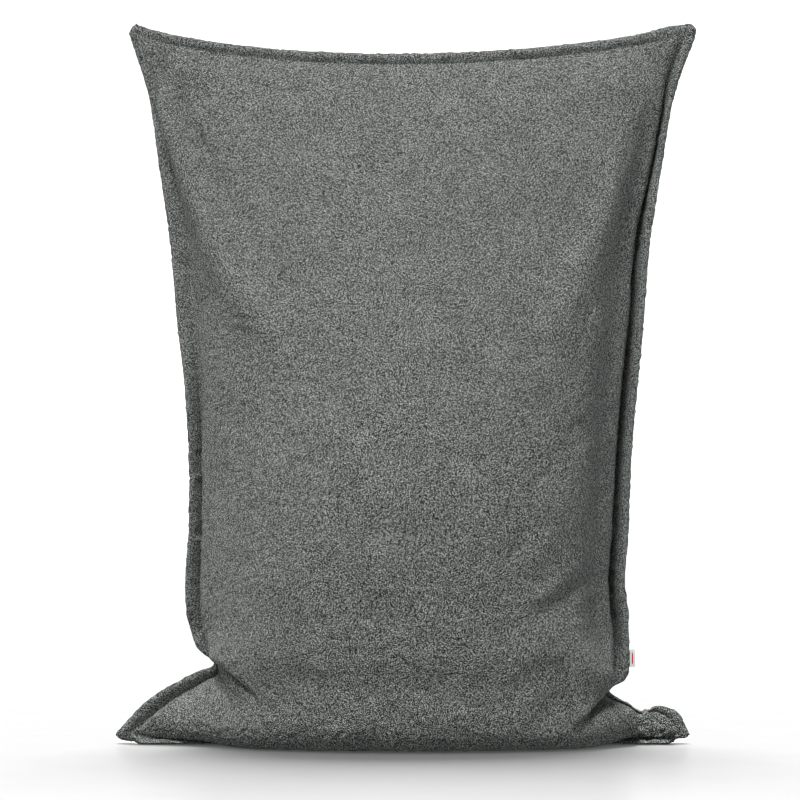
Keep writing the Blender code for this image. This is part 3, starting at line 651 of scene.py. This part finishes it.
def split_at_zip(grid, height, opening, open_x, shut_x):
    """The lower and the upper part of a back grid, drawn apart at the gap, with turned-in hems."""
    level = grid[:, grid.shape[1] // 2, 2]
    above = np.where((level > height) & (np.arange(len(level)) > len(level) // 10))[0][0]
    parts = []
    for part, way in ((grid[:above].copy(), -1), (grid[above:].copy(), 1)):
        reach = np.abs(part[:, :, 2] - height)
        gap = opening * (1 - ease((np.abs(part[:, :, 0]) - open_x) / (shut_x - open_x)))
        edge = 0 if way > 0 else -1
        first = reach[edge][None, :]
        near = 1 - ease((reach - first) / 0.03)
        part[:, :, 2] += way * (gap - first) * near
        hem = part[edge].copy()
        hem[:, 1] -= 0.0035
        hem[:, 2] -= way * np.minimum(gap[edge], 0.0012)
        hem = hem[None]
        parts.append(np.concatenate([part, hem] if way < 0 else [hem, part], axis=0))
    return parts


# ---- materials ------------------------------------------------------------------------------
class Nodes:
    """Short ways to add nodes to a tree and to join them."""

    def __init__(self, tree):
        self.tree = tree

    def put(self, value, socket):
        """Joins an output to an input, or sets the input to a plain value."""
        if isinstance(value, bpy.types.NodeSocket):
            self.tree.links.new(value, socket)
        else:
            socket.default_value = value

    def node(self, kind, *values, out=0, **named):
        """An output of a new node. Values go to its inputs in order, and set_ names a setting."""
        made = self.tree.nodes.new("ShaderNode" + kind)
        for key in [key for key in named if key.startswith("set_")]:
            setattr(made, key[4:], named.pop(key))
        for key, value in [*enumerate(values), *named.items()]:
            self.put(value, made.inputs[key])
        return made.outputs[out]

    def math(self, operation, *values):
        return self.node("Math", *values, set_operation=operation)

    def ramp(self, value, stops):
        colours = self.node("ValToRGB", value)
        points = colours.node.color_ramp.elements
        while len(points) < len(stops):
            points.new(0.5)
        for point, (at, colour) in zip(points, stops):
            point.position = at
            point.color = (*colour, 1.0)
        return colours

    def mix(self, factor, a, b, blend="MIX"):
        made = self.node("Mix", factor, set_data_type="RGBA", set_blend_type=blend).node
        for value, socket in ((a, made.inputs[6]), (b, made.inputs[7])):
            self.put((*value, 1.0) if isinstance(value, tuple) else value, socket)
        return made.outputs[2]


class Paint(Nodes):
    """A material's nodes. Its patterns run through object space, in metres."""

    def __init__(self, name, **sockets):
        self.material = bpy.data.materials.new(name)
        self.material.use_nodes = True
        super().__init__(self.material.node_tree)
        self.shader = self.tree.nodes["Principled BSDF"]
        for socket, value in sockets.items():
            self.shader.inputs[socket.replace("_", " ")].default_value = value
        self.place = self.node("TexCoord", out="Object")

    def pattern(self, kind, **settings):
        return self.node("Tex" + kind, Vector=self.place, **settings)

    def ribs(self, scale, uneven, way):
        return self.pattern("Wave", Scale=scale, Distortion=uneven, set_bands_direction=way)

    def finish(self, colour, height, strength, distance):
        """Joins the colour and a bump of this height, and gives the material."""
        bump = self.node("Bump", Strength=strength, Distance=distance, Height=height)
        self.put(colour, self.shader.inputs["Base Color"])
        self.put(bump, self.shader.inputs["Normal"])
        return self.material


def boucle_material(name):
    """Grey loops: small cells whose places are stirred, over clumps and broad soft shade. The
    colour follows the loops' height, so the hollows carry painted shade and the tops painted light.
    """
    paint = Paint(name, Roughness=0.95, Sheen_Weight=0.05, Sheen_Roughness=0.5,
                  Specular_IOR_Level=0.12, Sheen_Tint=(0.80, 0.88, 0.85, 1.0))
    stir = paint.pattern("Noise", out=1, Scale=180.0, Detail=1.0)
    stirred = paint.node("VectorMath", stir, (0.004, 0.004, 0.004), paint.place,
                         set_operation="MULTIPLY_ADD")
    loops = paint.node("TexVoronoi", Vector=stirred, Scale=400.0)
    clumps = paint.pattern("Noise", Scale=190.0, Detail=3.0, Roughness=0.7)
    height = paint.math("MULTIPLY_ADD", loops, -0.62, 0.62)
    height = paint.math("MULTIPLY_ADD", clumps, 0.60, height)
    # Painted shade and light: the colour follows the loops' height. It is dark in the hollows
    # between the loops, where shade falls, and light on their tops, over the yarn's own grey.
    tone = paint.ramp(height, [
        (0.30, (0.006, 0.0067, 0.006)), (0.50, (0.052, 0.0555, 0.0524)),
        (0.64, (0.178, 0.190, 0.180)), (0.84, (0.540, 0.572, 0.545)),
    ])
    broad = paint.pattern("Noise", Scale=14.0, Detail=3.0)
    shade = paint.ramp(broad, [(0.30, (0.86, 0.87, 0.87)), (0.70, (1.0, 1.0, 1.0))])
    return paint.finish(paint.mix(1.0, tone, shade, "MULTIPLY"), height, 0.9, 0.0030)


def thread_material():
    paint = Paint("dark_thread", Roughness=0.65, Sheen_Weight=0.2)
    twist = paint.ribs(900.0, 0.5, "X")
    tone = paint.ramp(twist, [(0.2, (0.035, 0.040, 0.038)), (0.8, (0.085, 0.095, 0.090))])
    return paint.finish(tone, twist, 0.5, 0.0003)


def woven_material(name, dark, light, scale, roughness=0.8):
    """Plain woven tape or cloth: two sets of ribs across each other."""
    paint = Paint(name, Roughness=roughness, Sheen_Weight=0.15)
    weave = paint.math("MULTIPLY", paint.ribs(scale, 0.6, "X"), paint.ribs(scale, 0.6, "Z"))
    return paint.finish(paint.ramp(weave, [(0.05, dark), (0.6, light)]), weave, 0.6, 0.0003)


def label_material():
    """White ribbon with one plain red stripe woven down its middle."""
    low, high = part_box("side_label")
    paint = Paint("striped_ribbon", Roughness=0.6, Sheen_Weight=0.1)
    ribs = paint.ribs(260.0, 0.4, "Z")
    white = paint.ramp(ribs, [(0.1, (0.60, 0.59, 0.58)), (0.8, (0.80, 0.79, 0.78))])
    red = paint.ramp(ribs, [(0.1, (0.38, 0.020, 0.030)), (0.8, (0.58, 0.045, 0.060))])
    place = paint.node("SeparateXYZ", paint.place).node
    across = paint.node("MapRange", place.outputs[0], low.x, high.x)
    along = paint.node("MapRange", place.outputs[2], low.z, high.z)
    inside = paint.math("MULTIPLY", band(paint, across, 0.50, 0.15), band(paint, along, 0.50, 0.36))
    return paint.finish(paint.mix(inside, white, red), ribs, 0.4, 0.0002)


def band(paint, share, middle, half):
    """1 where a share lies within half of the middle, and 0 outside, with a soft edge."""
    away = paint.math("ABSOLUTE", paint.math("SUBTRACT", share, middle))
    return paint.node("MapRange", away, half, half * 0.8)


def metal_material():
    paint = Paint("dark_metal", Metallic=1.0)
    grain = paint.pattern("Noise", Scale=1400.0, Detail=3.0)
    wear = paint.pattern("Noise", Scale=260.0, Detail=4.0)
    tone = paint.ramp(wear, [(0.40, (0.11, 0.11, 0.115)), (0.70, (0.34, 0.33, 0.32))])
    rough = paint.ramp(grain, [(0.3, (0.28, 0.28, 0.28)), (0.7, (0.46, 0.46, 0.46))])
    paint.put(rough, paint.shader.inputs["Roughness"])
    return paint.finish(tone, grain, 0.15, 0.0001)


def plastic_material():
    paint = Paint("coil_plastic", Roughness=0.42)
    grain = paint.pattern("Noise", Scale=700.0, Detail=2.0)
    tone = paint.ramp(grain, [(0.3, (0.040, 0.046, 0.044)), (0.7, (0.062, 0.070, 0.067))])
    return paint.finish(tone, grain, 0.2, 0.0002)


def beads_material():
    paint = Paint("foam_beads", Roughness=0.7)
    cells = paint.pattern("Voronoi", Scale=210.0)
    # Painted shade: each bead is white at its middle and painted grey towards its rim, as the shade
    # in the gaps between the beads.
    tone = paint.ramp(cells, [(0.0, (0.93, 0.93, 0.93)), (0.75, (0.62, 0.63, 0.64))])
    return paint.finish(tone, paint.math("MULTIPLY", cells, -1.0), 1.0, 0.003)


# ---- stitches and zip -----------------------------------------------------------------------
def stand_in(piece, node):
    """Puts a piece on the bag's body in the place of a CAD node, and hides that node."""
    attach(piece, "bag")
    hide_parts(node)


def tube_faces(rings, sides, offset=0):
    """Faces of a tube between its rings of vertices, and of its two flat ends."""
    faces = []
    for r in range(rings - 1):
        for k in range(sides):
            a, b = offset + r * sides + k, offset + r * sides + (k + 1) % sides
            faces.append((a, b, b + sides, a + sides))
    last = offset + (rings - 1) * sides
    return [*faces, range(offset, offset + sides)[::-1], range(last, last + sides)]


def add_stitches(name, route, out, material):
    """Short bent stitches along a route. out is the direction that the thread stands up in."""
    step, pitch, length, radius = 0.0005, 0.0055, 0.0044, 0.00062
    length_to = lengths(route)
    at = np.arange(0, length_to[-1], step)
    fine = np.stack([np.interp(at, length_to, route[:, k]) for k in range(3)], axis=-1)
    per, reach = int(round(pitch / step)), int(round(length / step))
    out = np.asarray(out, float)
    verts, faces, sides, rings = [], [], 6, 7
    for start in range(0, len(fine) - reach, per):
        offset = len(verts)
        for k in range(rings):
            t = k / (rings - 1)
            centre = fine[start + int(round(t * reach))]
            centre = centre + out * 0.0011 * (math.sin(math.pi * t) - 0.55)
            ahead = fine[start + reach] - fine[start]
            beside = np.cross(ahead / np.linalg.norm(ahead), out)
            size = radius * (0.45 + 0.55 * math.sin(math.pi * min(max(t, 0.02), 0.98)) ** 0.5)
            for m in range(sides):
                turn = 2 * math.pi * m / sides
                verts.append(centre + size * (math.cos(turn) * beside + math.sin(turn) * out))
        faces += tube_faces(rings, sides, offset)
    return add_mesh(name, verts, faces, material)


def add_coil(node, material):
    """A wound zip coil in the place of its CAD bar."""
    low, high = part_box(node)
    wire, pitch, sides, per_turn = 0.00036, 0.00125, 5, 10
    centre = (low + high) / 2
    half_y, half_z = (high.y - low.y) / 2 - wire, (high.z - low.z) / 2 - wire
    turns = int((high.x - low.x - 2 * wire) / pitch)
    verts, forth = [], np.array([1.0, 0.0, 0.0])
    for k in range(turns * per_turn + 1):
        turn = 2 * math.pi * k / per_turn
        x = low.x + wire + pitch * k / per_turn
        radial = np.array([0.0, math.cos(turn), math.sin(turn)])
        ring = np.array([x, centre.y + half_y * radial[1], centre.z + half_z * radial[2]])
        for m in range(sides):
            way = 2 * math.pi * m / sides
            verts.append(ring + wire * (math.cos(way) * radial + math.sin(way) * forth))
    faces = tube_faces(turns * per_turn + 1, sides)
    stand_in(add_mesh(node + "_wound", verts, faces, material), node)


# ---- build ----------------------------------------------------------------------------------
def build_cover(boucle):
    a, s = columns_and_rows(CELL, TOP_CORNER)
    front = add_cloth("cover_front_cloth", cloth_side(-1, a, s, 11), boucle["front"], -1)
    back = cloth_side(1, a, s, 12)
    lower, upper = split_at_zip(back, ZIP_HEIGHT, ZIP_OPENING, ZIP_OPEN_X, ZIP_SHUT_X)
    low = add_cloth("cover_back_lower_cloth", lower, boucle["back"], 1)
    high = add_cloth("cover_back_upper_cloth", upper, boucle["back"], 1)
    stand_in(front, "cover_front_panel")
    stand_in(low, "cover_back_lower_panel")
    stand_in(high, "cover_back_upper_panel")


def build_border_stitches(thread):
    rise = np.linspace(share_of(0.36), share_of(1.64), 60)
    a = np.linspace(0, 1, 60)
    left_seam, left_edge, _ = side_border("left", rise)
    right_seam, right_edge, _ = side_border("right", rise[::-1])
    top_seam, top_edge, _ = end_border(False, a)
    parts = []
    for seam, edge in ((left_seam, left_edge), (top_seam, top_edge), (right_seam, right_edge)):
        parts.append(seam * (1 - STITCH_SHARE) + edge * STITCH_SHARE)
    parts[-1][:, 1] = right_seam[:, 1]
    route = np.concatenate(parts)
    for node, side in (("border_stitch_front", -1), ("border_stitch_back", 1)):
        lifted = route + np.array([0.0, side * 0.0042, 0.0])
        stand_in(add_stitches(node + "_row", lifted, (0, side, 0), thread), node)


def build_zip(thread, coil):
    for way in ("upper", "lower"):
        add_coil("zip_coil_" + way, coil)
        low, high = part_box("zip_stitch_" + way)
        middle = (low.z + high.z) / 2
        route = [(x, BACK_PLATE + 0.0044, middle) for x in np.linspace(low.x, high.x, 8)]
        piece = add_stitches(f"zip_stitch_{way}_row", np.array(route), (0, 1, 0), thread)
        stand_in(piece, "zip_stitch_" + way)


def build_liner(cloth):
    def inner(side, a, s):
        zip_at = (LINER_PLATE, LINER_ZIP_HEIGHT) if side > 0 else (1.0, 0.0)
        grid = body(side, a, s, LINER_INSET, zip_at)
        shut = ease((LINER_TOP - grid[:, :, 2]) / 0.10)
        grid[:, :, 1] = side * (0.0006 + np.abs(grid[:, :, 1]) * shut)
        if side > 0:
            plate = BACK_PLATE - PLATE_STEPS[0]
            grid[:, :, 1] = flattened(grid[:, :, 1], grid[:, :, 2], plate, ZIP_HEIGHT)
        grid[[0, -1], :, 1] = side * 0.0006
        grid[:, [0, -1], 1] = side * 0.0006
        return grid

    a, s = columns_and_rows(LINER_CELL, 1.64, LINER_INSET)
    made = {}
    for side in (-1, 1):
        grid = folded(inner(side, a, s), side)
        wrinkle = 0.0016 * (soft_lumps(grid[:, :, 0], grid[:, :, 2], 8 + side, 0.03, 0.12) - 1.5)
        from_side, from_end = from_edges(grid.shape[:2], 0)
        wrinkle *= ease(from_side / 6.0)[None, :] * ease(from_end / 6.0)[:, None]
        if side > 0:
            wrinkle *= ease((np.abs(grid[:, :, 2] - LINER_ZIP_HEIGHT) - 0.02) / 0.05)
        grid = grid + normals(grid, side) * wrinkle[:, :, None]
        if side < 0:
            made["liner_front_panel"] = add_cloth("liner_front_cloth", grid, cloth, side)
            continue
        lower, upper = split_at_zip(
            grid, LINER_ZIP_HEIGHT, LINER_OPENING, LINER_OPEN_X, LINER_SHUT_X
        )
        made["liner_back_lower_panel"] = add_cloth("liner_back_lower_cloth", lower, cloth, side)
        made["liner_back_upper_panel"] = add_cloth("liner_back_upper_cloth", upper, cloth, side)
    for (node, piece), tall in zip(made.items(), (1.80, 0.85, 1.00)):
        stand_in(piece, node)


def build_fill(beads):
    a, s = columns_and_rows(FILL_CELL, FILL_TOP - 0.01, FILL_INSET)
    sides = []
    for side in (-1, 1):
        grid = body(side, a, s, FILL_INSET, (1.0, 0.0))
        grid[:, :, 1] *= ease((FILL_TOP - grid[:, :, 2]) / 0.10)
        if side > 0:
            for plate, height in ((BACK_PLATE - PLATE_STEPS[1], ZIP_HEIGHT),
                                  (LINER_PLATE - PLATE_STEPS[0], LINER_ZIP_HEIGHT)):
                grid[:, :, 1] = flattened(grid[:, :, 1], grid[:, :, 2], plate, height)
        grid[[0, -1], :, 1] = 0
        grid[:, [0, -1], 1] = 0
        grid = folded(grid, side)
        bumps = -0.0012 * np.abs(np.random.default_rng(20 + side).normal(size=grid.shape[:2]))
        bumps[[0, -1]] = 0
        bumps[:, [0, -1]] = 0
        sides.append(grid + normals(grid, side) * bumps[:, :, None])
    rows, columns = sides[0].shape[:2]
    verts = np.concatenate([g.reshape(-1, 3) for g in sides])
    back_faces = grid_faces(rows, columns, True) + rows * columns
    piece = add_mesh(
        "bead_filling", verts, np.concatenate([grid_faces(rows, columns), back_faces]), beads
    )
    bm = bmesh.new()
    bm.from_mesh(piece.data)
    bmesh.ops.remove_doubles(bm, verts=bm.verts[:], dist=0.00002)
    bm.to_mesh(piece.data)
    bm.free()
    stand_in(piece, "bead_fill")


def build_label(ribbon):
    """A small folded ribbon, closed at its outer edge, that stands out of the right border."""
    low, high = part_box("side_label")
    width, height = high.x - low.x, high.z - low.z
    rows, columns, half = 18, 14, 0.0010
    verts = []
    for r in range(rows + 1):
        up = r / rows
        for c in range(columns + 1):
            turn = 2 * math.pi * c / columns
            reach = 0.5 - 0.5 * math.cos(turn)
            wave = 0.0010 * math.sin(2.2 * math.pi * up + 0.6) * reach
            x = low.x - 0.004 + (width + 0.004) * reach
            y = half * math.sin(turn) * (0.4 + 0.6 * reach) + wave
            verts.append((x, y, low.z + height * up))
    piece = add_mesh("side_label_ribbon", verts, grid_faces(rows + 1, columns + 1), ribbon)
    stand_in(piece, "side_label")


def paint_node(node, material):
    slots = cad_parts[node].data.materials
    if len(slots):
        slots[0] = material
    else:
        slots.append(material)


def build_stage():
    paint = Paint("pale_floor", Roughness=1.0, Specular_IOR_Level=0.0,
                  Emission_Color=(1.0, 1.0, 1.0, 1.0))
    grain = paint.pattern("Noise", Scale=6.0, Detail=2.0)
    pale = paint.ramp(grain, [(0.3, (0.91, 0.91, 0.91)), (0.7, (0.93, 0.93, 0.93))])
    # Seen, it is white with a soft shadow and a faint painted glow. To all other rays it is a grey
    # that glows as a painted source of light from below, dim and even.
    seen = paint.node("LightPath")
    paint.put(paint.mix(seen, (0.30, 0.30, 0.30), pale), paint.shader.inputs["Base Color"])
    painted_glow = paint.node("MapRange", seen, 0.0, 1.0, 0.215, 0.05)
    paint.put(painted_glow, paint.shader.inputs["Emission Strength"])
    mirror = paint.node("BsdfAnisotropic", Roughness=0.24)
    surface = paint.node("MixShader", 0.19, paint.shader.outputs[0], mirror)
    paint.put(surface, paint.tree.nodes["Material Output"].inputs["Surface"])
    far = 300.0
    corners = [(-far, -far, 0), (far, -far, 0), (far, far, 0), (-far, far, 0)]
    floor = add_mesh("floor", corners, [(0, 1, 2, 3)], paint.material)

    world = bpy.data.worlds.new("soft_white")
    world.use_nodes = True
    background = world.node_tree.nodes["Background"]
    background.inputs["Color"].default_value = (1.0, 1.0, 1.0, 1.0)
    # White where it is seen, also in the floor's sheen, and dimmer where it only lights the room.
    sky = Nodes(world.node_tree)
    ray = sky.node("LightPath").node.outputs
    seen = sky.math("MAXIMUM", ray["Is Camera Ray"], ray["Is Glossy Ray"])
    sky.put(sky.node("MapRange", seen, 0.0, 1.0, 0.28, 1.1), background.inputs["Strength"])
    bpy.context.scene.world = world
    bpy.context.scene.view_settings.view_transform = "Standard"
    bpy.context.scene.cycles.filter_width = 1.0

    # Key and back light are flagged off the floor, and a wash of its own keeps it evenly pale.
    groups = {}
    for kind, state in (("object_only", "EXCLUDE"), ("floor_only", "INCLUDE")):
        groups[kind] = bpy.data.collections.new(kind)
        groups[kind].objects.link(floor)
        groups[kind].collection_objects[0].light_linking.link_state = state
    # Each lamp's name, the place it shines from, its strength, its spread and what it lights.
    for name, place, power, spread, kind in (
        ("key", (-1.75, -4.5, 8.2), 3.95, 0.40, "object_only"),
        ("back", (-0.4, 3.8, 5.0), 1.9, 0.55, "object_only"),
        ("wash", (0.0, 1.60, 4.4), 2.6, 0.56, "floor_only"),
    ):
        lamp = bpy.data.lights.new(name, "SUN")
        lamp.energy = power
        lamp.angle = spread
        light = bpy.data.objects.new(name, lamp)
        light.rotation_euler = (-Vector(place)).to_track_quat("-Z", "Y").to_euler()
        light.light_linking.receiver_collection = groups[kind]
        bpy.context.scene.collection.objects.link(light)

    lens = bpy.data.cameras.new("camera")
    lens.sensor_width = 36.0
    camera = bpy.data.objects.new("camera", lens)
    place, aim = Vector((-0.014, -5.5, 0.50)), Vector((-0.014, 0.0, 0.813))
    camera.location = place
    camera.rotation_euler = (aim - place).to_track_quat("-Z", "Y").to_euler()
    half_view = 0.953
    lens.lens = lens.sensor_width * (aim - place).length / (2 * half_view)
    bpy.context.scene.collection.objects.link(camera)
    bpy.context.scene.camera = camera


def build():
    build_stage()
    boucle = {"front": boucle_material("boucle_front"), "back": boucle_material("boucle_back")}
    thread, metal, coil = thread_material(), metal_material(), plastic_material()
    tape = woven_material("zip_tape_weave", (0.035, 0.040, 0.038), (0.090, 0.100, 0.096), 700.0)
    ribbon = woven_material("white_ribbon", (0.62, 0.60, 0.57), (0.86, 0.85, 0.82), 600.0, 0.6)
    cloth = woven_material("liner_weave", (0.55, 0.55, 0.53), (0.76, 0.76, 0.74), 420.0)
    build_cover(boucle)
    build_border_stitches(thread)
    build_zip(thread, coil)
    build_label(label_material())
    build_liner(cloth)
    build_fill(beads_material())
    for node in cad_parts:
        if "tape" in node:
            paint_node(node, tape)
        elif "coil" in node:
            paint_node(node, coil)
        elif "stop" in node or "slider" in node or "pull" in node:
            paint_node(node, metal)
        elif "care_label" in node:
            paint_node(node, ribbon)


build()
